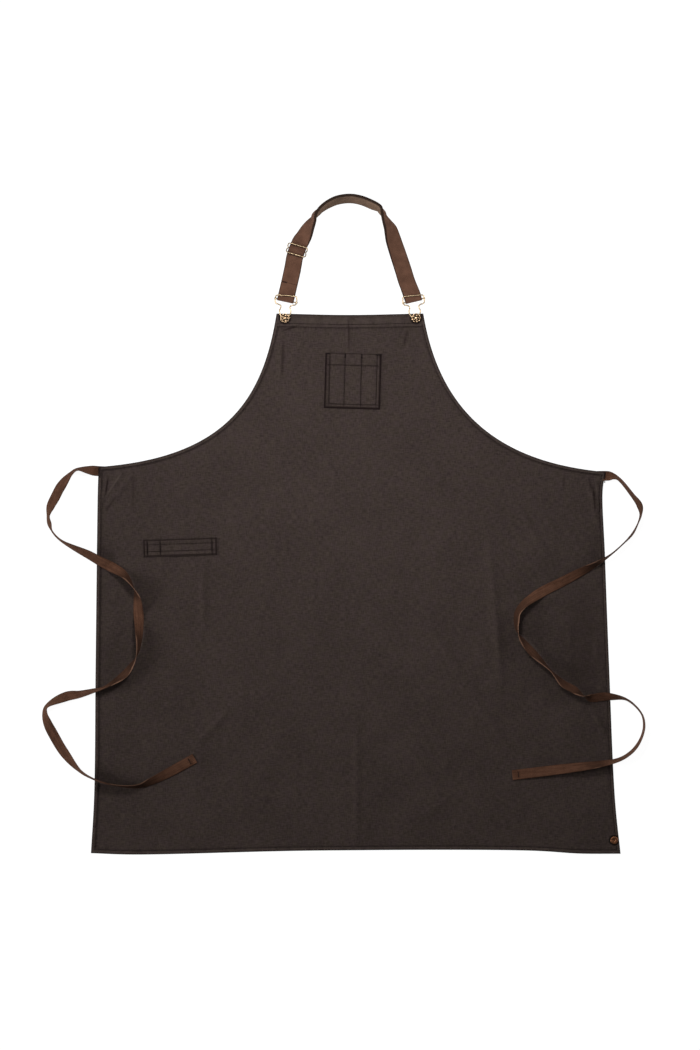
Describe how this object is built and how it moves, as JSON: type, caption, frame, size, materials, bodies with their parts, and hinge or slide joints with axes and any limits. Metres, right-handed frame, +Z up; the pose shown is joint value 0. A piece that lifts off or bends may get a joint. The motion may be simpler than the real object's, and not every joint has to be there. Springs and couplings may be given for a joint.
{
  "type": "bib apron",
  "caption": "Wide brown cotton bib apron laid flat: armholes, pen pocket, towel loop, webbing neck strap on wire dungaree buckles, loose waist ties.",
  "frame": {"origin": "on the surface that the apron lies on, under the middle of its box with the waist ties left out", "axes": "+Y from the skirt's hem to the neck strap, +X to the right as seen from above, +Z up off the surface"},
  "size_m": [1.0711, 1.1742, 0.0303],
  "materials": {
    "drill": "matt dark brown cotton drill",
    "webbing": "matt brown woven webbing",
    "tape": "matt brown herringbone tape",
    "antique_brass": "light antique brass wire and buttons",
    "copper": "darkened copper rivet cap"
  },
  "bodies": {
    "root": {"apron_panel": "drill", "chest_pocket": "drill", "towel_loop": "drill", "neck_strap": "webbing", "strap_slider": "antique_brass", "left_buckle_frame": "antique_brass", "left_buckle_bar": "antique_brass", "left_button": "antique_brass", "right_buckle_frame": "antique_brass", "right_buckle_bar": "antique_brass", "right_button": "antique_brass", "corner_rivet": "copper", "left_tie": "tape", "right_tie": "tape"}
  },
  "joints": []
}
